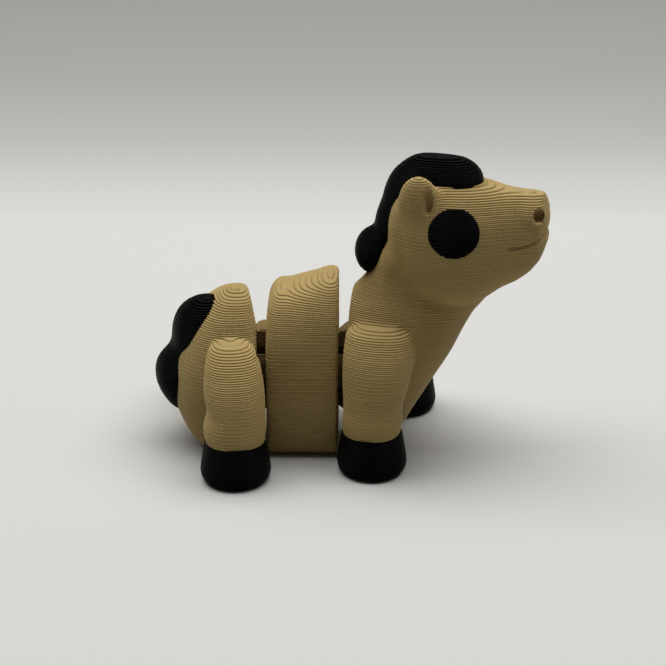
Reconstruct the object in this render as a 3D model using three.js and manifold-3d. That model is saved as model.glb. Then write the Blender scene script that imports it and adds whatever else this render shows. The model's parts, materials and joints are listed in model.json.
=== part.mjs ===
// A small 3-D printed toy pony in three segments, joined by two printed ring-and-pin links.
// Millimetres, +Z up. The nose points along +X, and the toy stands on Z = 0.
// The dimensions are those of the design, which is printed at PRINT_SCALE.
import * as THREE from "three";
import { mergeVertices } from "three/addons/utils/BufferGeometryUtils.js";
import Module from "manifold-3d";

const wasm = await Module();
wasm.setup();

// ---------- driving dimensions ----------
const PRINT_SCALE = 1.43; // the printed toy's size over the design's
const LAYER = 0.2 / PRINT_SCALE; // height of one layer, which is 0.2 mm as printed
const SEAM = 0.05; // space left where two pieces are printed against each other
const CLEAR = 0.45; // running clearance in a printed link

const MIDDLE_LENGTH = 5.7; // the middle segment, rear face to front face
const MIDDLE_FACE = 0.6; // from a link axis to the middle segment's nearer face
const FRONT_FACE = 0.6; // from a link axis to the front segment's face
const REAR_FACE = 0.35; // from a link axis to the rear segment's face
const HINGE_X = MIDDLE_LENGTH / 2 + MIDDLE_FACE; // link axes, before and behind the middle
const WEDGE = THREE.MathUtils.degToRad(6); // how far the end segments' faces fall away sideways
const FRONT_TURN = THREE.MathUtils.degToRad(-13); // the front segment's turn, as it stands
const REAR_TURN = THREE.MathUtils.degToRad(9); // the rear segment's turn, as it stands

const HOOF = { low: 2.25, wide: 2.75, top: 2.35, bulge: 0.9, height: 24 * LAYER };
const FORE_HOOF = { x: 3.55, y: 6.15 };
const HIND_HOOF = { x: -2.9, y: 8.15 };
const LEG_CLEAR_Y = 5.85; // inside of this the hind legs keep clear of the middle segment
const EYE = { x: 9.2, z: 19.3, radius: 1.95, face: 4.75, depth: 1.3, dome: 0.35 };
const EAR = { x: 6.2, y: 2.8, z: 21.2, radius: 1.3, height: 2.0, root: 1.4, tilt: 0.3 };
const NOSTRIL = { x: 15.3, y: 1.5, z: 20.3, long: 0.55, wide: 0.35, high: 0.45 };

const LINK = {
  z: 6.0, // middle of the ring
  height: 3.0, // of the ring
  ring: 1.9, // outer radius
  bore: 1.15, // inner radius
  pin: 0.65, // radius
  lug: 1.15, // radius of the lugs that hold the pin
  lugHeight: 1.5,
  slope: 1.0, // height of the bevel that ends a lug
  bevel: 0.5, // on the ring's edges
  root: 1.1, // how deep a ring's or a lug's root goes into its segment
  corner: 0.25, // room for a lug's corners as it turns
};
const RING_LOW = LINK.z - LINK.height / 2;
const RING_HIGH = LINK.z + LINK.height / 2;

const SIDES = 24; // facets round a turned or lofted body
const BEYOND = 20; // past every part of a segment, measured from its link
const TAN = { color: 0xb49a6b, roughness: 0.55, metalness: 0 };
const BLACK = { color: 0x16181a, roughness: 0.5, metalness: 0 };

// ---------- solids ----------
function solid(geometry) {
  const bare = geometry.clone();
  bare.deleteAttribute("normal");
  bare.deleteAttribute("uv");
  const merged = mergeVertices(bare, 1e-4);
  return new wasm.Manifold(
    new wasm.Mesh({
      numProp: 3,
      vertProperties: merged.attributes.position.array,
      triVerts: new Uint32Array(merged.index.array),
    }),
  );
}

function geometryOf(manifold) {
  const mesh = manifold.getMesh();
  const indexed = new THREE.BufferGeometry();
  indexed.setAttribute("position", new THREE.BufferAttribute(mesh.vertProperties, 3));
  indexed.setIndex(new THREE.BufferAttribute(mesh.triVerts, 1));
  const faceted = indexed.toNonIndexed();
  faceted.computeVertexNormals();
  return faceted;
}

function joined(...solids) {
  return solids.reduce((whole, next) => whole.add(next));
}

function cut(whole, ...tools) {
  return tools.reduce((left, tool) => left.subtract(tool), whole);
}

// A closed body through rows of numbers whose first column is the distance along it. The rows
// between are smooth curves. power is 2 for a round outline and more for a squarer one, above and
// below. place(row, cos, sin) puts a point of the outline in space.
function loft(stations, rings, [powerUp, powerDown], place) {
  const along = stations.map((row) => row[0]);
  const curve = new THREE.CubicInterpolant(along, stations.flat(), stations[0].length);
  const first = along[0];
  const span = along[along.length - 1] - first;
  const tube = new THREE.CylinderGeometry(1, 1, 1, SIDES, rings, false);
  const at = tube.attributes.position;
  for (let i = 0; i < at.count; i++) {
    const row = Array.from(curve.evaluate(first + (at.getY(i) + 0.5) * span));
    const radius = Math.hypot(at.getX(i), at.getZ(i));
    const angle = Math.atan2(at.getX(i), at.getZ(i));
    const bend = (v) => radius * Math.sign(v) * Math.abs(v) ** (2 / (angle < 0 ? powerDown : powerUp));
    at.setXYZ(i, ...place(row, bend(Math.cos(angle)), bend(Math.sin(angle))));
  }
  return solid(tube);
}

// Stations [x, middle height, up, down, half width]: a body that runs along X.
function alongX(stations, rings, powers) {
  return loft(stations, rings, powers, ([x, z, up, down, half], c, s) => [
    x,
    c * half,
    z + s * (s > 0 ? up : down),
  ]);
}

// Stations [z, x0, x1, y0, y1]: a body that stands along Z and fills that box at each height.
function alongZ(stations, rings, power) {
  return loft(stations, rings, [power, power], ([z, x0, x1, y0, y1], c, s) => [
    (x0 + x1) / 2 + (s * (x1 - x0)) / 2,
    (y0 + y1) / 2 - (c * (y1 - y0)) / 2,
    z,
  ]);
}

// An upright turned body from [radius, height] points that start and end on the axis.
function turned(points, x = 0, y = 0) {
  const profile = points.map(([r, z]) => new THREE.Vector2(r, z));
  const lathe = new THREE.LatheGeometry(profile, SIDES);
  return solid(lathe.rotateX(Math.PI / 2).translate(x, y, 0));
}

function cylinder(radius, z0, z1) {
  return turned([
    [0, z0],
    [radius, z0],
    [radius, z1],
    [0, z1],
  ]);
}

// Rows [x, y, z, rx, ry, rz], joined.
function ellipsoids(rows, grow) {
  const balls = rows.map(([x, y, z, rx, ry, rz]) => {
    const ball = new THREE.SphereGeometry(1, 16, 10).rotateX(Math.PI / 2);
    return solid(ball.scale(rx + grow, ry + grow, rz + grow).translate(x, y, z));
  });
  return joined(...balls);
}

function block(x0, x1, y, z0, z1) {
  const box = new THREE.BoxGeometry(x1 - x0, 2 * y, z1 - z0);
  return solid(box.translate((x0 + x1) / 2, 0, (z0 + z1) / 2));
}

// The space beyond an end segment's two-way sloping face, out to halfWidth each side.
// side is +1 where the segment lies ahead of its link and -1 where it lies behind.
function beyondFace(side, face, halfWidth) {
  const drop = halfWidth * Math.tan(WEDGE);
  const plan = new THREE.Shape();
  plan.moveTo(side * face, 0);
  plan.lineTo(side * (face + drop), halfWidth);
  plan.lineTo(-side * BEYOND, halfWidth);
  plan.lineTo(-side * BEYOND, -halfWidth);
  plan.lineTo(side * (face + drop), -halfWidth);
  plan.closePath();
  const prism = new THREE.ExtrudeGeometry(plan, { depth: 2 * BEYOND, bevelEnabled: false });
  return solid(prism.translate(0, 0, -BEYOND));
}

// A straight bar across the toy, from [x, z] corners.
function crossBar(corners, halfWidth) {
  const side = new THREE.Shape(corners.map(([x, z]) => new THREE.Vector2(x, z)));
  const bar = new THREE.ExtrudeGeometry(side, { depth: 2 * halfWidth, bevelEnabled: false });
  return solid(bar.rotateX(Math.PI / 2).translate(0, halfWidth, 0));
}

// ---------- small pieces ----------
function hoof({ x, y }, side) {
  const rounded = [0, 1, 2, 3].map((step) => {
    const angle = (step * Math.PI) / 6;
    const flare = (HOOF.wide - HOOF.low) * Math.sin(angle);
    return [HOOF.low + flare, HOOF.bulge * (1 - Math.cos(angle))];
  });
  return turned([[0, 0], ...rounded, [HOOF.top, HOOF.height], [0, HOOF.height]], x, side * y);
}

// A domed disc set in the cheek, facing left or right.
function eye(side, grow) {
  const r = EYE.radius + grow;
  const back = EYE.face - EYE.depth - grow;
  const profile = [
    [0, back],
    [r, back],
    [r, EYE.face - EYE.dome],
    [r * 0.7, EYE.face - EYE.dome * 0.3],
    [0, EYE.face],
  ].map(([radius, out]) => new THREE.Vector2(radius, out));
  const disc = new THREE.LatheGeometry(profile, SIDES);
  if (side < 0) disc.rotateX(Math.PI);
  return solid(disc.translate(EYE.x, 0, EYE.z));
}

function ear(side) {
  const profile = [
    [0, -EAR.root],
    [EAR.radius, -EAR.root],
    [EAR.radius, 0],
    [EAR.radius * 0.78, EAR.height * 0.55],
    [EAR.radius * 0.4, EAR.height * 0.9],
    [0, EAR.height],
  ].map(([radius, up]) => new THREE.Vector2(radius, up));
  const cone = new THREE.LatheGeometry(profile, 16).rotateX(Math.PI / 2);
  return solid(cone.rotateX(-side * EAR.tilt).translate(EAR.x, side * EAR.y, EAR.z));
}

function mane(grow) {
  return ellipsoids(
    [
      [8.4, 0, 22.2, 2.4, 2.2, 1.85],
      [6.1, 0, 22.0, 2.5, 2.3, 2.05],
      [4.0, 0, 20.2, 1.7, 1.9, 2.4],
      [3.5, 0, 18.4, 1.5, 1.9, 1.9],
      [2.5, 0, 16.1, 1.75, 1.9, 2.0],
    ],
    grow,
  );
}

function tail(grow) {
  return ellipsoids(
    [
      [-4.4, 0, 10.1, 1.9, 2.6, 1.8],
      [-5.6, 0, 8.4, 1.8, 3.0, 2.3],
      [-6.8, 0, 6.1, 1.75, 2.6, 2.2],
      [-6.9, 0, 4.4, 1.2, 1.7, 1.4],
    ],
    grow,
  );
}

// ---------- links: an upright pin at X = 0, Y = 0, held by two lugs ----------
// The ring round the pin, and its root in the segment behind.
function linkRing(grow) {
  const inner = LINK.ring - LINK.bevel + grow;
  const ring = turned([
    [0, RING_LOW - grow],
    [inner, RING_LOW - grow],
    [LINK.ring + grow, RING_LOW + LINK.bevel],
    [LINK.ring + grow, RING_HIGH - LINK.bevel],
    [inner, RING_HIGH + grow],
    [0, RING_HIGH + grow],
  ]);
  const end = -LINK.ring - LINK.root - grow;
  const thin = LINK.bevel / 2 - grow;
  return joined(ring, block(end, 0, LINK.lug + grow, RING_LOW + thin, RING_HIGH - thin));
}

function linkBore() {
  return cylinder(LINK.bore, RING_LOW - 1, RING_HIGH + 1);
}

// The pin and its two lugs, whose roots go into the segment ahead.
function linkPin(grow) {
  const low = RING_LOW - CLEAR;
  const high = RING_HIGH + CLEAR;
  const end = MIDDLE_FACE + LINK.root + grow;
  const lower = crossBar(
    [
      [end, low - LINK.lugHeight - grow],
      [end, low + grow],
      [-LINK.lug, low + grow],
      [-LINK.lug, low - LINK.lugHeight + LINK.slope],
      [-LINK.lug + LINK.slope, low - LINK.lugHeight - grow],
    ],
    LINK.lug + grow,
  );
  const upper = crossBar(
    [
      [end, high - grow],
      [end, high + LINK.lugHeight + grow],
      [-LINK.lug + LINK.slope, high + LINK.lugHeight + grow],
      [-LINK.lug, high + LINK.lugHeight - LINK.slope],
      [-LINK.lug, high - grow],
    ],
    LINK.lug + grow,
  );
  const held = LINK.lugHeight / 3;
  return joined(lower, upper, cylinder(LINK.pin, low - held, high + held));
}

// The room that a ring turns in, in the segment that holds its pin.
function ringPocket() {
  const reach = LINK.ring + CLEAR;
  return block(-LINK.ring, reach, reach, RING_LOW - CLEAR, RING_HIGH + CLEAR);
}

// The room that the lugs turn in, in the segment that holds the ring.
function lugPockets() {
  const reach = Math.hypot(LINK.lug, LINK.lug) + LINK.corner;
  const lift = LINK.lugHeight + 2 * CLEAR;
  const below = cylinder(reach, RING_LOW - lift, RING_LOW);
  const above = cylinder(reach, RING_HIGH, RING_HIGH + lift);
  return joined(below, above, linkBore());
}

// ---------- segments, each about its own link axis ----------
// A leg on each side, from stations [z, x0, x1, inner, outer]. The last two are distances from the
// middle plane.
function legPair(stations) {
  return [-1, 1].map((side) => {
    const rows = stations.map(([z, x0, x1, inner, outer]) => [
      z,
      x0,
      x1,
      side > 0 ? inner : -outer,
      side > 0 ? outer : -inner,
    ]);
    return alongZ(rows, 7, 2.3);
  });
}

function rearBody() {
  const rump = alongZ(
    [
      [0, -5.2, 2.0, -4.5, 4.5],
      [0.9, -5.9, 2.0, -5.1, 5.1],
      [2.2, -6.6, 2.0, -5.3, 5.3],
      [4.2, -7.2, 2.0, -5.4, 5.4],
      [6.5, -7.2, 2.0, -5.4, 5.4],
      [8.5, -6.6, 1.6, -5.0, 5.0],
      [10.2, -5.7, 0.9, -4.2, 4.2],
      [11.6, -4.4, 0, -3.1, 3.1],
      [12.4, -3.4, -0.8, -1.8, 1.8],
      [12.75, -2.6, -1.4, -0.5, 0.5],
    ],
    13,
    2.6,
  );
  const leaning = crossBar(
    [
      [BEYOND, -1],
      [BEYOND, 14],
      [-1.7, 14],
      [-1.35, 12.2],
      [-0.95, 10.5],
      [-0.65, 8.5],
      [-REAR_FACE, 6.5],
      [-REAR_FACE, -1],
    ],
    LEG_CLEAR_Y,
  );
  const legs = legPair([
    [HOOF.height + SEAM, -5.25, -0.6, 5.9, 10.45],
    [5, -5.25, -0.55, 5.7, 10.2],
    [7, -5.15, -0.7, 5.0, 9.6],
    [9, -4.8, -1.1, 4.2, 8.1],
    [10, -4.2, -1.7, 3.6, 6.4],
    [10.5, -3.5, -2.3, 3.4, 5.1],
  ]);
  const body = cut(rump, leaning);
  return cut(
    joined(body, ...legs),
    beyondFace(-1, REAR_FACE, LEG_CLEAR_Y),
    lugPockets(),
    linkRing(SEAM),
    tail(SEAM),
  );
}

function middleBody() {
  const half = MIDDLE_LENGTH / 2;
  const barrel = alongX(
    [
      [-half, 6, 5.9, 6.5, 5.1],
      [-half + 0.4, 6, 6.4, 6.5, 5.2],
      [-1, 6, 6.9, 6.5, 5.3],
      [1, 6, 7.5, 6.5, 5.3],
      [half - 0.6, 6, 7.85, 6.5, 5.3],
      [half, 6, 7.5, 6.5, 5.2],
    ],
    7,
    [3.2, 4.5],
  );
  const pinSide = joined(ringPocket(), linkPin(SEAM)).translate(-HINGE_X, 0, 0);
  const ringSide = joined(lugPockets(), linkRing(SEAM)).translate(HINGE_X, 0, 0);
  const underneath = block(-BEYOND, BEYOND, BEYOND, -BEYOND, 0);
  return cut(barrel, underneath, pinSide, ringSide);
}

function frontBody() {
  const chest = alongZ(
    [
      [0, -2.4, 3.9, -4.2, 4.2],
      [0.9, -2.4, 4.5, -4.8, 4.8],
      [2.6, -2.4, 5.4, -5.0, 5.0],
      [6, -2.4, 7.3, -5.0, 5.0],
      [8.5, -2.4, 8.6, -4.9, 4.9],
      [10.5, -2.0, 9.6, -4.5, 4.5],
      [12, -0.6, 10.7, -4.1, 4.1],
      [13.2, 0.8, 11.9, -3.7, 3.7],
      [14.5, 1.9, 12.6, -3.4, 3.4],
      [16.5, 3.1, 10.8, -3.1, 3.1],
      [18.5, 4.2, 10.0, -2.6, 2.6],
    ],
    14,
    2.4,
  );
  const head = alongX(
    [
      [3.5, 18.5, 0.6, 0.6, 0.6],
      [4.2, 18.5, 2.3, 2.4, 2.6],
      [5.6, 18.4, 3.6, 3.9, 3.9],
      [7.8, 18.2, 4.4, 4.6, 4.5],
      [9.5, 18.2, 4.2, 4.7, 4.6],
      [11.1, 18.3, 3.8, 4.3, 4.1],
      [12.5, 18.5, 3.2, 3.75, 3.3],
      [13.9, 18.7, 2.9, 3.2, 2.6],
      [14.9, 18.9, 2.6, 2.6, 2.1],
      [15.5, 19.0, 2.0, 1.8, 1.5],
      [15.7, 19.0, 1.0, 0.8, 0.7],
    ],
    15,
    [2, 2],
  );
  const legs = legPair([
    [HOOF.height + SEAM, 1.25, 5.8, 3.8, 8.45],
    [5, 1.3, 5.95, 3.7, 8.4],
    [8, 1.4, 6.4, 3.2, 8.0],
    [10, 1.6, 6.5, 2.8, 7.3],
    [11.3, 2.3, 6.1, 2.6, 6.2],
    [12.1, 3.3, 5.1, 2.5, 4.8],
  ]);
  const nostrils = ellipsoids(
    [-1, 1].map((side) => [
      NOSTRIL.x,
      side * NOSTRIL.y,
      NOSTRIL.z,
      NOSTRIL.long,
      NOSTRIL.wide,
      NOSTRIL.high,
    ]),
    0,
  );
  return cut(
    joined(chest, head, ...legs, ear(-1), ear(1)),
    beyondFace(1, FRONT_FACE, BEYOND / 2),
    ringPocket(),
    linkPin(SEAM),
    mane(SEAM),
    eye(-1, SEAM),
    eye(1, SEAM),
    nostrils,
  );
}

// ---------- the scene ----------
function addPieces(group, finish, pieces) {
  for (const [name, shape] of Object.entries(pieces)) {
    const mesh = new THREE.Mesh(geometryOf(shape), new THREE.MeshStandardMaterial(finish));
    mesh.name = name;
    group.add(mesh);
  }
}

function hooves(place, prefix) {
  return {
    [prefix + "_hoof_left"]: hoof(place, 1),
    [prefix + "_hoof_right"]: hoof(place, -1),
  };
}

// A hoof stands partly inside its body's outline, so the body is cut round it.
function clearOfHooves(body, place) {
  const room = [-1, 1].map((side) =>
    turned(
      [
        [0, -1],
        [HOOF.wide + SEAM, -1],
        [HOOF.wide + SEAM, HOOF.bulge + SEAM],
        [HOOF.top + SEAM, HOOF.height + SEAM],
        [0, HOOF.height + SEAM],
      ],
      place.x,
      side * place.y,
    ),
  );
  return cut(body, ...room);
}

const rear = new THREE.Group();
rear.position.set(-HINGE_X, 0, 0);
rear.rotation.z = REAR_TURN;
addPieces(rear, TAN, {
  rear_body: clearOfHooves(rearBody(), HIND_HOOF),
  rear_link_ring: linkRing(0).subtract(linkBore()),
});
addPieces(rear, BLACK, { ...hooves(HIND_HOOF, "hind"), tail: tail(0) });

const middle = new THREE.Group();
addPieces(middle, TAN, {
  middle_body: middleBody(),
  rear_link_pin: linkPin(0).translate(-HINGE_X, 0, 0),
  front_link_ring: linkRing(0).subtract(linkBore()).translate(HINGE_X, 0, 0),
});

const front = new THREE.Group();
front.position.set(HINGE_X, 0, 0);
front.rotation.z = FRONT_TURN;
addPieces(front, TAN, {
  front_body: clearOfHooves(frontBody(), FORE_HOOF),
  front_link_pin: linkPin(0),
});
addPieces(front, BLACK, {
  ...hooves(FORE_HOOF, "fore"),
  mane: mane(0),
  left_eye: eye(1, 0),
  right_eye: eye(-1, 0),
});

const pony = new THREE.Group();
pony.add(rear, middle, front);
pony.scale.setScalar(PRINT_SCALE);
const box = new THREE.Box3().setFromObject(pony, true);
pony.position.set(-(box.min.x + box.max.x) / 2, -(box.min.y + box.max.y) / 2, 0);

export default pony;
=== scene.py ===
"""The looks of a small 3-D printed toy pony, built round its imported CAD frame.

Each piece starts as a smooth closed form, which is then sliced the way a printer slices it: level
layers layers of one height, each a rounded bead, with a step where the form leans in or out. Lengths are
the design's millimetres, and each segment is shaped about its own link axis, nose towards +X.
"""
import json
import math

import bmesh
import bpy
import numpy as np
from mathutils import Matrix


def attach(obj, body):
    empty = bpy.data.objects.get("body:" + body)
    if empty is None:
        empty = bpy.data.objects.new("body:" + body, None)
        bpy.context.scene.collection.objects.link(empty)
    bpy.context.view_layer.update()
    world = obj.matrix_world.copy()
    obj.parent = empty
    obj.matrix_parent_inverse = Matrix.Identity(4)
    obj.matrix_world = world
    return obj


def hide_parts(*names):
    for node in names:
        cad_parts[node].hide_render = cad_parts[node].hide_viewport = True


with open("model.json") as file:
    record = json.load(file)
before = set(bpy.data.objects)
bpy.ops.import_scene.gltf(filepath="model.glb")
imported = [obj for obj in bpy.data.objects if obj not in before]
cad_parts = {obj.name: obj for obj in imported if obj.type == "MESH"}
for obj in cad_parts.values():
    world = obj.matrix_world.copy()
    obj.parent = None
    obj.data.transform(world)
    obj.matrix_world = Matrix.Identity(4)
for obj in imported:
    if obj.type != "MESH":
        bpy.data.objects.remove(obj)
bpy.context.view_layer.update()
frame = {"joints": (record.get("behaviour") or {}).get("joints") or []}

import openvdb
from mathutils import Matrix, Vector

PRINT_SCALE = 1.43  # the printed toy's size over the design's
MM = 0.001 * PRINT_SCALE  # metres that a millimetre of the design is in print

# ---------- the print ----------
LAYER = 0.2 / PRINT_SCALE  # height of one layer, which is 0.2 mm in print
BEAD_INSET = 0.03  # how far the groove between two layers goes in
PAIRING = 0.012  # how far every other layer sits inside of its neighbours
BEAD_ROWS = (-1.0, -0.5, 0.5, 1.0)  # cuts through the thin strip that becomes a layer's wall
BEAD_HEIGHTS = (0.0, 0.22, 0.78, 1.0)  # where those cuts end up, in layers
STRIP = 0.012  # half the height of that strip
DRIFT = 0.006  # how far a layer strays sideways from its place
WELD = 0.012  # points closer than this become one, which leaves some edges open

# ---------- the toy ----------
STANCE = {"rear": 9, "middle": 0, "front": -13}  # how far each segment is turned, in degrees
WEDGE = math.tan(math.radians(6))  # how fast the end segments' faces fall away sideways
REAR_FACE = 0.35  # from a link axis to the rear segment's face
FRONT_FACE = 0.6  # from a link axis to the front segment's face
LEG_CLEAR_Y = 5.85  # inside of this the hind legs keep clear of the middle segment
HOOF_TOP = 24 * LAYER
HIND_HOOF, FORE_HOOF = (-2.9, 8.15), (3.55, 6.15)  # where the left hooves stand
EYE_X, EYE_Z, EYE_RADIUS = 9.2, 19.25, 1.95
EYE_BACK = 3.3  # from the middle plane to the back of an eye
LINK_Z, LINK_HEIGHT, LINK_RING, LINK_BORE, LINK_PIN = 6.0, 3.0, 1.9, 1.15, 0.65
LUG, LUG_HEIGHT, CLEAR = 1.15, 1.5, 0.45
RING_LOW, RING_HIGH = LINK_Z - LINK_HEIGHT / 2, LINK_Z + LINK_HEIGHT / 2
OUTSIDE = 3.0  # the value of a form well outside of it
MOST_LAYERS = 200  # more than any piece has

joints = {joint["child"]: Vector(joint["pos_m"]) / MM for joint in frame["joints"]}
pivots = {
    "rear": Vector((joints["rear"].x, joints["rear"].y, 0)),
    "front": Vector((joints["front"].x, joints["front"].y, 0)),
}
pivots["middle"] = (pivots["rear"] + pivots["front"]) / 2
HALF_LINKS = (pivots["front"].x - pivots["rear"].x) / 2  # from the middle's centre to a link axis
MIDDLE_HALF = HALF_LINKS - 0.6


# ---------- smooth forms: each gives a value below 0 inside and about the distance outside ----------
class Room:
    """A box of sample points, as open arrays of x, y and z."""

    def __init__(self, low, high, step):
        self.step = step
        self.low = np.array(low, float)
        count = np.ceil((np.array(high, float) - self.low) / step).astype(int) + 1
        axes = [self.low[i] + step * np.arange(count[i]) for i in range(3)]
        self.x = axes[0].reshape(-1, 1, 1)
        self.y = axes[1].reshape(1, -1, 1)
        self.z = axes[2].reshape(1, 1, -1)


def spline(rows, at):
    """Smooth curves through rows of numbers whose first column is the place along them."""
    rows = np.array(rows, float)
    place, value = rows[:, 0], rows[:, 1:]
    slope = np.gradient(value, place, axis=0)
    flat = np.clip(np.asarray(at, float).ravel(), place[0], place[-1])
    i = np.clip(np.searchsorted(place, flat) - 1, 0, len(place) - 2)
    gap = (place[i + 1] - place[i])[:, None]
    t = (flat - place[i])[:, None] / gap
    curve = (
        (1 + 2 * t) * (1 - t) ** 2 * value[i]
        + t * (1 - t) ** 2 * gap * slope[i]
        + t * t * (3 - 2 * t) * value[i + 1]
        + t * t * (t - 1) * gap * slope[i + 1]
    )
    return [column.reshape(np.shape(at)) for column in curve.T]


def oval(across, up, half_across, half_up, power):
    """A superellipse's outline in the plane, about as a distance."""
    a = np.abs(across) / half_across
    b = np.abs(up) / half_up
    r = np.maximum((a**power + b**power) ** (1 / power), 1e-3)
    steep = np.hypot(a ** (power - 1) / half_across, b ** (power - 1) / half_up) * r ** (1 - power)
    return (r - 1) / np.maximum(steep, 0.5 / np.maximum(half_across, half_up))


def standing(room, rows, power):
    """A body that stands along Z, from rows (z, x0, x1, y0, y1)."""
    x0, x1, y0, y1 = spline(rows, room.z)
    half_x, half_y = np.maximum((x1 - x0) / 2, 0.05), np.maximum((y1 - y0) / 2, 0.05)
    side = oval(room.x - (x0 + x1) / 2, room.y - (y0 + y1) / 2, half_x, half_y, power)
    return np.maximum(side, np.maximum(rows[0][0] - room.z, room.z - rows[-1][0]))


def leg(room, rows, side, power=2.3):
    """A leg from rows (z, x0, x1, inner, outer), on the left with side 1 and the right with -1."""
    placed = [(z, x0, x1, *sorted((side * inner, side * outer))) for z, x0, x1, inner, outer in rows]
    return standing(room, placed, power)


def lying(room, rows, power_up, power_down):
    """A body that lies along X, from rows (x, middle height, up, down, half width)."""
    z, up, down, half = spline(rows, room.x)
    rise = room.z - z
    top = oval(room.y, rise, np.maximum(half, 0.05), np.maximum(up, 0.05), power_up)
    bottom = oval(room.y, rise, np.maximum(half, 0.05), np.maximum(down, 0.05), power_down)
    side = np.where(rise > 0, top, bottom)
    return np.maximum(side, np.maximum(rows[0][0] - room.x, room.x - rows[-1][0]))


def ball(room, x, y, z, rx, ry, rz, tilt=0.0, turn=0.0):
    """An ellipsoid. tilt leans it forward about Y and turn rolls it about X, in degrees."""
    a, b, c = room.x - x, room.y - y, room.z - z
    ct, st = math.cos(math.radians(tilt)), math.sin(math.radians(tilt))
    a, c = a * ct - c * st, a * st + c * ct
    cr, sr = math.cos(math.radians(turn)), math.sin(math.radians(turn))
    b, c = b * cr + c * sr, c * cr - b * sr
    reach = np.sqrt((a / rx) ** 2 + (b / ry) ** 2 + (c / rz) ** 2)
    steep = np.sqrt((a / rx**2) ** 2 + (b / ry**2) ** 2 + (c / rz**2) ** 2)
    return reach * (reach - 1) / np.maximum(steep, 1e-3)


def upright(room, radius, z0, z1, x=0.0, y=0.0):
    """A cylinder along Z."""
    side = np.hypot(room.x - x, room.y - y) - radius
    return np.maximum(side, np.maximum(z0 - room.z, room.z - z1))


def slab(room, x0, x1, half_y, z0, z1):
    across = np.maximum(x0 - room.x, room.x - x1)
    up = np.maximum(z0 - room.z, room.z - z1)
    return np.maximum(np.maximum(across, up), np.abs(room.y) - half_y)


def blend(a, b, soft):
    """Two forms as one, with a fillet about soft wide between them."""
    mix = np.clip(0.5 + 0.5 * (b - a) / soft, 0, 1)
    return b * (1 - mix) + a * mix - soft * mix * (1 - mix)


def trim(form, keep, soft):
    """What of a form lies inside of keep, with the new edge rounded."""
    return -blend(-form, -keep, soft)


def engrave(room, form, line, width, depth):
    """A groove where the form's surface meets a line of (x, z) points, seen from the side."""
    nearest = np.full((room.x.size, 1, room.z.size), np.inf)
    for (x0, z0), (x1, z1) in zip(line, line[1:]):
        dx, dz = x1 - x0, z1 - z0
        t = np.clip(((room.x - x0) * dx + (room.z - z0) * dz) / (dx * dx + dz * dz), 0, 1)
        nearest = np.minimum(nearest, np.hypot(room.x - x0 - t * dx, room.z - z0 - t * dz))
    return form + depth * np.exp(-((nearest / width) ** 2))


# ---------- links ----------
def ring_form(room):
    ring = upright(room, LINK_RING, RING_LOW, RING_HIGH)
    rounded = trim(ring, np.hypot(room.x, room.y) + np.abs(room.z - LINK_Z) - LINK_RING - 1.0, 0.2)
    root = slab(room, -LINK_RING - 1.1, 0, LUG, RING_LOW + 0.25, RING_HIGH - 0.25)
    return trim(blend(rounded, root, 0.2), LINK_BORE - np.hypot(room.x, room.y), 0.15)


def pin_form(room):
    """The upright pin and the two lugs that hold it, whose outer ends slope."""
    low, high = RING_LOW - CLEAR, RING_HIGH + CLEAR
    slope = np.abs(room.z - LINK_Z) - (high + LUG_HEIGHT - LINK_Z) - (room.x + LUG - 1.0)
    lower = slab(room, -LUG, 1.7, LUG, low - LUG_HEIGHT, low)
    upper = slab(room, -LUG, 1.7, LUG, high, high + LUG_HEIGHT)
    lugs = trim(np.minimum(lower, upper), slope, 0.2)
    return blend(lugs, upright(room, LINK_PIN, low - 0.5, high + 0.5), 0.2)


def ring_room(room):
    """The pocket that a ring turns in."""
    reach = LINK_RING + CLEAR
    return slab(room, -LINK_RING, reach, reach, RING_LOW - CLEAR, RING_HIGH + CLEAR)


def lug_room(room):
    """The pockets that two lugs turn in, above and below a ring."""
    reach = LUG * math.sqrt(2) + 0.25
    lift = LUG_HEIGHT + 2 * CLEAR
    lower = upright(room, reach, RING_LOW - lift, RING_LOW)
    upper = upright(room, reach, RING_HIGH, RING_HIGH + lift)
    return np.minimum(np.minimum(lower, upper), upright(room, LINK_BORE, RING_LOW - 1, RING_HIGH + 1))


class Shifted:
    """A room seen from a link axis at another place along X."""

    def __init__(self, room, x):
        self.x, self.y, self.z = room.x - x, room.y, room.z


# ---------- tan bodies ----------
def rear_form(room):
    rump = standing(
        room,
        [
            (-0.3, -4.9, 2.0, -4.2, 4.2),
            (0.9, -5.9, 2.0, -5.1, 5.1),
            (2.2, -6.6, 2.0, -5.3, 5.3),
            (4.2, -7.2, 2.0, -5.4, 5.4),
            (6.5, -7.2, 2.0, -5.4, 5.4),
            (8.5, -6.6, 1.6, -5.0, 5.0),
            (10.2, -5.7, 0.9, -4.2, 4.2),
            (11.6, -4.3, 0.2, -3.1, 3.1),
            (12.4, -3.2, -0.4, -1.9, 1.9),
            (12.8, -2.4, -1.3, -0.6, 0.6),
        ],
        2.6,
    )
    front = np.interp(room.z, (6.5, 8.5, 10.5, 12.2, 14.0), (-0.35, -0.45, -0.6, -0.85, -1.1))
    rump = trim(rump, room.x - front, 0.8)
    hind = [
        (HOOF_TOP, -5.2, -0.6, 5.9, 10.4),
        (4.4, -5.3, -0.5, 5.75, 10.35),
        (5.6, -5.0, -0.5, 5.5, 10.1),
        (7.0, -5.15, -0.5, 5.0, 9.6),
        (8.2, -5.05, -0.6, 4.4, 8.7),
        (9.1, -4.8, -0.8, 3.8, 7.6),
        (9.6, -4.5, -1.1, 3.4, 6.7),
        (9.95, -4.0, -1.6, 3.2, 5.8),
        (10.15, -3.2, -2.4, 3.2, 4.7),
    ]
    body = rump
    for side in (-1, 1):
        body = blend(body, leg(room, hind, side), 0.35)
    beyond = np.minimum(room.x + REAR_FACE + np.abs(room.y) * WEDGE, LEG_CLEAR_Y - np.abs(room.y))
    body = np.maximum(np.maximum(body, beyond), -room.z)
    return np.maximum(body, -lug_room(room))


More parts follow.
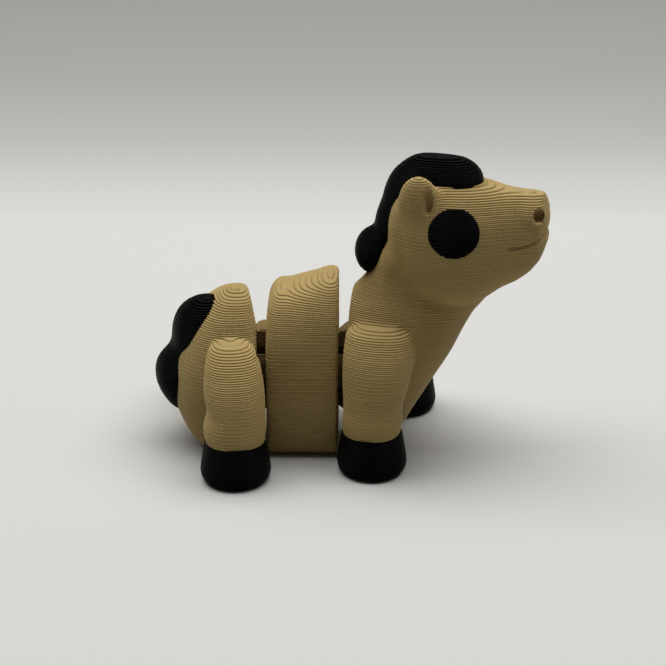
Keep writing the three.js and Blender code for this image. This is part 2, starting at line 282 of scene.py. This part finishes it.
def middle_form(room):
    half = MIDDLE_HALF
    barrel = lying(
        room,
        [
            (-half - 0.1, 6, 5.6, 6.5, 5.15),
            (-half + 0.4, 6, 6.5, 6.5, 5.25),
            (-1.0, 6, 7.0, 6.5, 5.3),
            (1.0, 6, 7.6, 6.5, 5.3),
            (half - 0.6, 6, 7.95, 6.5, 5.3),
            (half + 0.1, 6, 7.8, 6.5, 5.25),
        ],
        3.0,
        4.5,
    )
    barrel = trim(barrel, np.abs(room.x) - half, 0.35)
    barrel = np.maximum(barrel, -room.z)
    rear_link, front_link = Shifted(room, -HALF_LINKS), Shifted(room, HALF_LINKS)
    pockets = np.minimum(ring_room(rear_link), lug_room(front_link))
    return np.maximum(barrel, -pockets)


def head_form(room):
    """The head without its ears, whose lower edge is the jaw."""
    return lying(
        room,
        [
            (3.3, 18.5, 0.6, 0.6, 0.6),
            (4.0, 18.5, 2.3, 2.8, 2.6),
            (5.4, 18.4, 3.6, 4.6, 3.9),
            (7.8, 18.2, 4.4, 5.5, 4.5),
            (9.5, 18.2, 4.2, 5.6, 4.6),
            (11.1, 18.3, 3.85, 5.1, 4.1),
            (12.5, 18.5, 3.35, 4.3, 3.3),
            (13.9, 18.7, 3.05, 3.7, 2.6),
            (14.9, 18.9, 2.8, 2.95, 2.15),
            (15.5, 19.0, 2.35, 2.0, 1.65),
            (15.8, 19.0, 1.2, 0.9, 0.8),
        ],
        2.2,
        2.8,
    )


def front_form(room):
    chest = standing(
        room,
        [
            (-0.3, -2.4, 3.7, -4.0, 4.0),
            (0.9, -2.4, 4.5, -4.8, 4.8),
            (2.6, -2.4, 5.4, -5.0, 5.0),
            (6.0, -2.4, 7.3, -5.0, 5.0),
            (8.5, -2.4, 8.7, -4.9, 4.9),
            (10.5, -2.0, 9.6, -4.5, 4.5),
            (12.0, -0.6, 10.4, -3.7, 3.7),
            (13.2, 0.8, 11.3, -3.15, 3.15),
            (14.5, 1.9, 11.6, -3.1, 3.1),
            (16.5, 3.0, 9.8, -3.6, 3.6),
            (18.5, 4.0, 8.8, -3.5, 3.5),
        ],
        2.4,
    )
    fore = [
        (HOOF_TOP, 1.3, 5.75, 3.8, 8.4),
        (4.4, 1.25, 5.9, 3.75, 8.45),
        (5.4, 1.3, 5.85, 3.65, 8.3),
        (7.0, 1.2, 6.2, 3.4, 8.2),
        (8.5, 1.0, 6.5, 3.1, 7.9),
        (9.6, 0.9, 6.6, 2.8, 7.4),
        (10.4, 1.0, 6.4, 2.6, 6.7),
        (11.0, 1.3, 6.0, 2.5, 5.9),
        (11.35, 2.0, 5.2, 2.4, 4.9),
    ]
    body = blend(chest, head_form(room), 0.3)
    for side in (-1, 1):
        body = blend(body, leg(room, fore, side), 0.4)
        body = blend(body, ear_form(room, side), 0.7)
        body = blend(body, nose_form(room, side), 0.7)
        body = trim(body, -nostril_form(room, side), 0.12)
        body = trim(body, -ear_hollow(room, side), 0.2)
    mouth = [(16.2, 19.1), (15.7, 18.75), (15.0, 18.35), (14.2, 18.05), (13.3, 18.0)]
    body = engrave(room, body, mouth, 0.17, 0.24)
    beyond = room.x - FRONT_FACE - np.abs(room.y) * WEDGE
    body = np.maximum(np.maximum(body, -beyond), -room.z)
    return np.maximum(body, -ring_room(room))


def ear_form(room, side):
    outer = ball(room, 6.3, side * 2.9, 20.9, 1.6, 1.3, 2.4, turn=-18 * side)
    return trim(outer, 19.6 - room.z, 0.3)


def ear_hollow(room, side):
    return ball(room, 7.2, side * 4.2, 21.9, 0.35, 0.6, 1.35, turn=-18 * side)


def nose_form(room, side):
    return ball(room, 14.7, side * 1.4, 20.25, 0.95, 0.8, 0.75)


def nostril_form(room, side):
    return ball(room, 15.2, side * 1.75, 20.35, 0.45, 0.65, 0.55)


# ---------- black pieces ----------
def hoof_form(x, y):
    def form(room):
        rise = np.clip(room.z, 0, HOOF_TOP)
        heights = (0, 0.2, 0.5, 0.9, 1.6, HOOF_TOP)
        flare = np.interp(rise, heights, (2.25, 2.5, 2.68, 2.75, 2.66, 2.36))
        side = np.hypot(room.x - x, room.y - y) - flare
        return np.maximum(side, np.maximum(-room.z, room.z - HOOF_TOP))

    return form


def tail_form(room):
    lumps = [
        (-4.1, 0, 10.3, 1.9, 2.4, 1.8),
        (-5.4, 0, 9.0, 1.75, 2.9, 2.4),
        (-6.75, 0, 5.9, 1.85, 2.9, 2.0),
        (-6.5, 0, 4.3, 1.2, 2.0, 1.6),
    ]
    form = ball(room, *lumps[0])
    for lump in lumps[1:]:
        form = blend(form, ball(room, *lump), 1.4)
    return form


def mane_form(room):
    lumps = [
        (8.3, 0, 22.2, 2.4, 2.1, 1.85),
        (6.3, 0, 22.0, 2.5, 2.2, 2.1),
        (4.5, 0, 20.3, 1.6, 1.8, 2.5),
        (3.7, 0, 18.4, 1.4, 1.7, 2.0),
        (2.3, 0, 16.1, 1.6, 1.8, 1.9),
    ]
    form = ball(room, *lumps[0])
    for lump in lumps[1:]:
        form = blend(form, ball(room, *lump), 0.8)
    return form


def eye_form(side):
    """A disc, a little wider than tall, that follows the cheek and stands proud of it."""
    squash, proud = 1.08, 0.1

    def form(room):
        disc = np.hypot(room.x - EYE_X, squash * (room.z - EYE_Z)) - EYE_RADIUS
        plug = np.maximum(disc, EYE_BACK - side * room.y)
        return trim(plug, head_form(room) - proud, 0.1)

    return form


# ---------- the slicer ----------
def smooth_mesh(room, values):
    """The closed triangle mesh where a form is 0, with its points' outward normals."""
    volume = openvdb.FloatGrid(OUTSIDE)
    volume.copyFromArray(np.ascontiguousarray(values, dtype=np.float32))
    points, quads = volume.convertToQuads(isovalue=0)
    points = np.array(points, float) * room.step + room.low
    quads = np.array(quads, np.int64)
    faces = np.concatenate([quads[:, [0, 1, 2]], quads[:, [0, 2, 3]]])
    corner = points[faces]
    if np.einsum("ij,ij->", corner[:, 0], np.cross(corner[:, 1], corner[:, 2])) < 0:
        faces = faces[:, ::-1]
        corner = points[faces]
    normal = np.cross(corner[:, 1] - corner[:, 0], corner[:, 2] - corner[:, 0])
    total = np.zeros_like(points)
    for i in range(3):
        np.add.at(total, faces[:, i], normal)
    total /= np.maximum(np.linalg.norm(total, axis=1), 1e-12)[:, None]
    return np.hstack([points, total]), faces


def cut_level(points, faces, level):
    """Splits the triangles that cross the heights level + k * LAYER, for every whole k."""
    while True:
        height = np.round((points[:, 2] - level) / LAYER, 6)
        at = height[faces]
        k = np.floor(at.min(1)) + 1
        crossing = k < at.max(1)
        if not crossing.any():
            return points, faces
        whole, split, k = faces[~crossing], faces[crossing], k[crossing]
        sign = np.sign(at[crossing] - k[:, None])
        on_plane = (sign == 0).any(1)
        outvoted = sign == -np.sign(sign.sum(1))[:, None]
        alone = np.where(on_plane, (sign == 0).argmax(1), outvoted.argmax(1))
        order = (alone[:, None] + np.arange(3)) % 3
        split = np.take_along_axis(split, order, 1)
        first, second, third = split.T
        starts = np.concatenate([second[on_plane], first[~on_plane], first[~on_plane]])
        ends = np.concatenate([third[on_plane], second[~on_plane], third[~on_plane]])
        planes = np.concatenate([k[on_plane], k[~on_plane], k[~on_plane]])
        low, high = np.minimum(starts, ends), np.maximum(starts, ends)
        key = (low * len(points) + high) * 1000 + (planes.astype(np.int64) + 500)
        unique, index, inverse = np.unique(key, return_index=True, return_inverse=True)
        low, high, planes = low[index], high[index], planes[index]
        t = ((planes - height[low]) / (height[high] - height[low]))[:, None]
        made = points[low] * (1 - t) + points[high] * t
        made[:, 2] = level + planes * LAYER
        new = len(points) + inverse.ravel()
        n = int(on_plane.sum())
        m = int((~on_plane).sum())
        mid, near, far = new[:n], new[n : n + m], new[n + m :]
        a, b, c = first[on_plane], second[on_plane], third[on_plane]
        p, q, r = first[~on_plane], second[~on_plane], third[~on_plane]
        pieces = [whole]
        for triple in ((a, b, mid), (a, mid, c), (p, near, far), (near, q, r), (near, r, far)):
            pieces.append(np.stack(triple, 1))
        faces = np.concatenate(pieces)
        points = np.vstack([points, made])


def layered(points, seed):
    """Moves the points of a cut mesh so that each layer is one bead with a level top."""
    rng = np.random.default_rng(seed)
    height = points[:, 2] / LAYER
    layer = np.floor(height + 1e-6)
    place = height - layer
    cuts = [0.5 + row * STRIP / LAYER for row in BEAD_ROWS]
    rise = np.interp(place, cuts, BEAD_HEIGHTS)
    inset = BEAD_INSET * np.interp(np.abs(place - 0.5), (cuts[2] - 0.5, cuts[3] - 0.5), (0, 1))
    i = np.clip(layer.astype(int), 0, MOST_LAYERS - 1)
    waves = rng.uniform(0.4, 1.2, (MOST_LAYERS, 2)) * rng.choice((-1, 1), (MOST_LAYERS, 2))
    phase = rng.uniform(0, 2 * math.pi, MOST_LAYERS)
    shift = rng.normal(0, 0.5, MOST_LAYERS)
    wave = np.sin(points[:, 0] * waves[i, 0] * 2 + points[:, 1] * waves[i, 1] * 2 + phase[i])
    inset = inset + DRIFT * (shift[i] + 0.5 * wave) + PAIRING * (i % 2)
    out = points[:, 3:5] / np.maximum(np.linalg.norm(points[:, 3:5], axis=1), 0.3)[:, None]
    moved = points[:, :3].copy()
    moved[:, :2] -= out * inset[:, None]
    moved[:, 2] = np.maximum((layer + rise) * LAYER, 0)
    return moved


def printed(name, body, place, form, low, high, step, material, nodes, seed):
    """One printed piece: form sampled in the box low to high, sliced, and put at place."""
    room = Room(low, high, step)
    points, faces = smooth_mesh(room, form(room))
    for row in BEAD_ROWS:
        points, faces = cut_level(points, faces, LAYER / 2 + row * STRIP)
    points = layered(points, seed)
    mesh = bpy.data.meshes.new(name)
    mesh.from_pydata(points.tolist(), [], faces.tolist())
    work = bmesh.new()
    work.from_mesh(mesh)
    bmesh.ops.remove_doubles(work, verts=work.verts, dist=WELD)
    bmesh.ops.dissolve_degenerate(work, edges=work.edges, dist=WELD / 4)
    work.to_mesh(mesh)
    work.free()
    mesh.transform(place @ Matrix.Scale(MM, 4))
    mesh.shade_smooth()
    mesh.set_sharp_from_angle(angle=math.radians(38))
    mesh.materials.append(material)
    piece = bpy.data.objects.new(name, mesh)
    bpy.context.scene.collection.objects.link(piece)
    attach(piece, body)
    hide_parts(*nodes)
    print(name, len(mesh.polygons), "faces")
    return piece


def placed(segment, link=None):
    """Where a segment's own frame is, or that of one of its links, in metres."""
    spot = pivots[link or segment] * MM
    return Matrix.Translation(spot) @ Matrix.Rotation(math.radians(STANCE[segment]), 4, "Z")


# ---------- materials ----------
TAN = (0.33, 0.236, 0.089)
BLACK = (0.0011, 0.0012, 0.0012)
PAPER = (0.52, 0.516, 0.495)


def plastic(name, colour, tone, roughness, specular):
    """Matt filament: each layer a little different in tone, with a fine grain."""
    material = bpy.data.materials.new(name)
    material.use_nodes = True
    nodes, links = material.node_tree.nodes, material.node_tree.links
    nodes.clear()
    output = nodes.new("ShaderNodeOutputMaterial")
    shader = nodes.new("ShaderNodeBsdfPrincipled")
    links.new(shader.outputs["BSDF"], output.inputs["Surface"])
    shader.inputs["Specular IOR Level"].default_value = specular
    where = nodes.new("ShaderNodeTexCoord")

    def noise(scale, detail):
        stretch = nodes.new("ShaderNodeMapping")
        stretch.inputs["Scale"].default_value = scale
        links.new(where.outputs["Object"], stretch.inputs["Vector"])
        texture = nodes.new("ShaderNodeTexNoise")
        texture.inputs["Scale"].default_value = 1
        texture.inputs["Detail"].default_value = detail
        links.new(stretch.outputs["Vector"], texture.inputs["Vector"])
        return texture.outputs["Fac"]

    per_layer = noise((250, 250, 3600), 2)
    patches = noise((180, 180, 180), 3)
    grain = noise((9000, 9000, 9000), 4)
    both = nodes.new("ShaderNodeMix")
    both.inputs["Factor"].default_value = 0.45
    links.new(per_layer, both.inputs["A"])
    links.new(patches, both.inputs["B"])
    ramp = nodes.new("ShaderNodeValToRGB")
    ramp.color_ramp.elements[0].position = 0.3
    ramp.color_ramp.elements[1].position = 0.7
    ramp.color_ramp.elements[0].color = (*(c * (1 - tone) for c in colour), 1)
    ramp.color_ramp.elements[1].color = (*(min(1, c * (1 + tone)) for c in colour), 1)
    links.new(both.outputs["Result"], ramp.inputs["Fac"])
    links.new(ramp.outputs["Color"], shader.inputs["Base Color"])
    rough = nodes.new("ShaderNodeMapRange")
    rough.inputs["To Min"].default_value = roughness - 0.08
    rough.inputs["To Max"].default_value = roughness + 0.08
    links.new(grain, rough.inputs["Value"])
    links.new(rough.outputs["Result"], shader.inputs["Roughness"])
    bump = nodes.new("ShaderNodeBump")
    bump.inputs["Strength"].default_value = 0.25
    bump.inputs["Distance"].default_value = 0.02 * MM
    links.new(grain, bump.inputs["Height"])
    links.new(bump.outputs["Normal"], shader.inputs["Normal"])
    return material


tan = plastic("tan_filament", TAN, 0.07, 0.6, 0.2)
black = plastic("black_filament", BLACK, 0.2, 0.36, 0.035)

# ---------- the pieces ----------
REAR, MIDDLE, FRONT = placed("rear"), placed("middle"), placed("front")


def tan_piece(name, body, place, form, low, high, step, seed):
    return printed(name, body, place, form, low, high, step, tan, [name], seed)


def black_piece(name, body, place, form, low, high, step, seed):
    return printed(name, body, place, form, low, high, step, black, [name], seed)


FINE, COARSE = 0.13, 0.16
tan_piece("rear_body", "rear", REAR, rear_form, (-8, -11.2, -0.6), (0.4, 11.2, 13.4), COARSE, 1)
tan_piece("middle_body", "middle", MIDDLE, middle_form, (-3.4, -6, -0.6), (3.4, 6, 14.6), COARSE, 2)
tan_piece("front_body", "front", FRONT, front_form, (0, -9.2, -0.6), (16.6, 9.2, 24.2), FINE, 3)

black_piece("tail", "rear", REAR, tail_form, (-9.5, -3.6, 1.8), (-1, 3.6, 12.8), FINE, 4)
black_piece("mane", "front", FRONT, mane_form, (0, -3.2, 13.6), (11.5, 3.2, 24.8), FINE, 5)
for seed, (name, side) in enumerate((("left_eye", 1), ("right_eye", -1)), 6):
    low, high = sorted((side * 3.0, side * 5.2))
    black_piece(name, "front", FRONT, eye_form(side), (6.8, low, 16.9), (11.6, high, 21.7), 0.1, seed)
for seed, (name, body, place, (x, y), side) in enumerate(
    (
        ("hind_hoof_left", "rear", REAR, HIND_HOOF, 1),
        ("hind_hoof_right", "rear", REAR, HIND_HOOF, -1),
        ("fore_hoof_left", "front", FRONT, FORE_HOOF, 1),
        ("fore_hoof_right", "front", FRONT, FORE_HOOF, -1),
    ),
    8,
):
    y *= side
    low, high = (x - 3.1, y - 3.1, -0.5), (x + 3.1, y + 3.1, HOOF_TOP + 0.4)
    black_piece(name, body, place, hoof_form(x, y), low, high, FINE, seed)

for seed, (name, body, place, form) in enumerate(
    (
        ("rear_link_ring", "rear", REAR, ring_form),
        ("rear_link_pin", "middle", placed("middle", "rear"), pin_form),
        ("front_link_ring", "middle", placed("middle", "front"), ring_form),
        ("front_link_pin", "front", FRONT, pin_form),
    ),
    12,
):
    tan_piece(name, body, place, form, (-3.4, -2.4, 2.0), (2.4, 2.4, 10.2), FINE, seed)


# ---------- the floor, the light and the camera ----------
def paper():
    """Pale paper with painted shade: its colour darkens some way behind the toy, where a backdrop would
    fall into shade.
    """
    material = bpy.data.materials.new("paper")
    material.use_nodes = True
    nodes, links = material.node_tree.nodes, material.node_tree.links
    shader = nodes["Principled BSDF"]
    shader.inputs["Roughness"].default_value = 0.8
    shader.inputs["Specular IOR Level"].default_value = 0.1
    where = nodes.new("ShaderNodeTexCoord")
    split = nodes.new("ShaderNodeSeparateXYZ")
    links.new(where.outputs["Object"], split.inputs["Vector"])
    # painted shade: the paper's colour falls along Y behind the toy to 0.56 of itself, standing in for a
    # backdrop's shade
    reach = nodes.new("ShaderNodeMapRange")
    reach.inputs["From Min"].default_value = 0.075
    reach.inputs["From Max"].default_value = 0.2
    links.new(split.outputs["Y"], reach.inputs["Value"])
    ramp = nodes.new("ShaderNodeValToRGB")
    ramp.color_ramp.interpolation = "B_SPLINE"
    ramp.color_ramp.elements.new(0.45)
    for element, place, light in zip(ramp.color_ramp.elements, (0.1, 0.45, 1.0), (1.0, 0.66, 0.56)):
        element.position = place
        element.color = (*(c * light for c in PAPER), 1)
    links.new(reach.outputs["Result"], ramp.inputs["Fac"])
    links.new(ramp.outputs["Color"], shader.inputs["Base Color"])
    return material


def studio():
    """A sheet of paper that lies under the toy and curves up far behind it."""
    floor = bpy.data.meshes.new("floor")
    depth, bend, width, height = 0.5, 0.1, 1.5, 0.5
    rows = [(-1.5, 0.0), (depth, 0.0)]
    arc = np.linspace(0.1, math.pi / 2, 12)
    rows += [(depth + bend * math.sin(a), bend * (1 - math.cos(a))) for a in arc]
    rows.append((depth + bend, height))
    points = [(x, y, z) for y, z in rows for x in (-width, width)]
    faces = [(2 * i, 2 * i + 1, 2 * i + 3, 2 * i + 2) for i in range(len(rows) - 1)]
    floor.from_pydata(points, [], faces)
    floor.shade_smooth()
    floor.materials.append(paper())
    sheet = bpy.data.objects.new("floor", floor)
    bpy.context.scene.collection.objects.link(sheet)


def area_light(name, place, aim, size, power):
    light = bpy.data.lights.new(name, "AREA")
    light.shape = "RECTANGLE"
    light.size, light.size_y = size
    light.energy = power
    lamp = bpy.data.objects.new(name, light)
    lamp.location = place
    lamp.rotation_euler = (Vector(aim) - Vector(place)).to_track_quat("-Z", "Y").to_euler()
    bpy.context.scene.collection.objects.link(lamp)


def camera():
    """The view from the toy's right side, a little above it."""
    aim = Vector((2.364, 0, 8.772))  # from the floor under the middle segment's centre
    target = pivots["middle"] * MM + aim * MM
    azimuth, elevation, distance = math.radians(1), math.radians(22), 130 * MM
    back = Vector((
        math.sin(azimuth) * math.cos(elevation),
        -math.cos(azimuth) * math.cos(elevation),
        math.sin(elevation),
    ))
    lens = bpy.data.cameras.new("camera")
    lens.lens = 87.1
    lens.sensor_width = 36
    lens.clip_start = 0.005
    lens.clip_end = 5
    eye = bpy.data.objects.new("camera", lens)
    eye.location = target + back * distance
    eye.rotation_euler = (-back).to_track_quat("-Z", "Y").to_euler()
    bpy.context.scene.collection.objects.link(eye)
    bpy.context.scene.camera = eye


def surroundings():
    """Faint light from all round."""
    world = bpy.data.worlds.new("world")
    world.use_nodes = True
    background = world.node_tree.nodes["Background"]
    background.inputs["Color"].default_value = (1.0, 0.985, 0.95, 1)
    background.inputs["Strength"].default_value = 0.06
    bpy.context.scene.world = world


studio()
surroundings()
area_light("overhead", (0.0, 0.09, 0.5), (0, 0.02, 0), (0.9, 0.42), 5.4)
bpy.context.scene.view_settings.view_transform = "Standard"
camera()

bpy.context.view_layer.update()
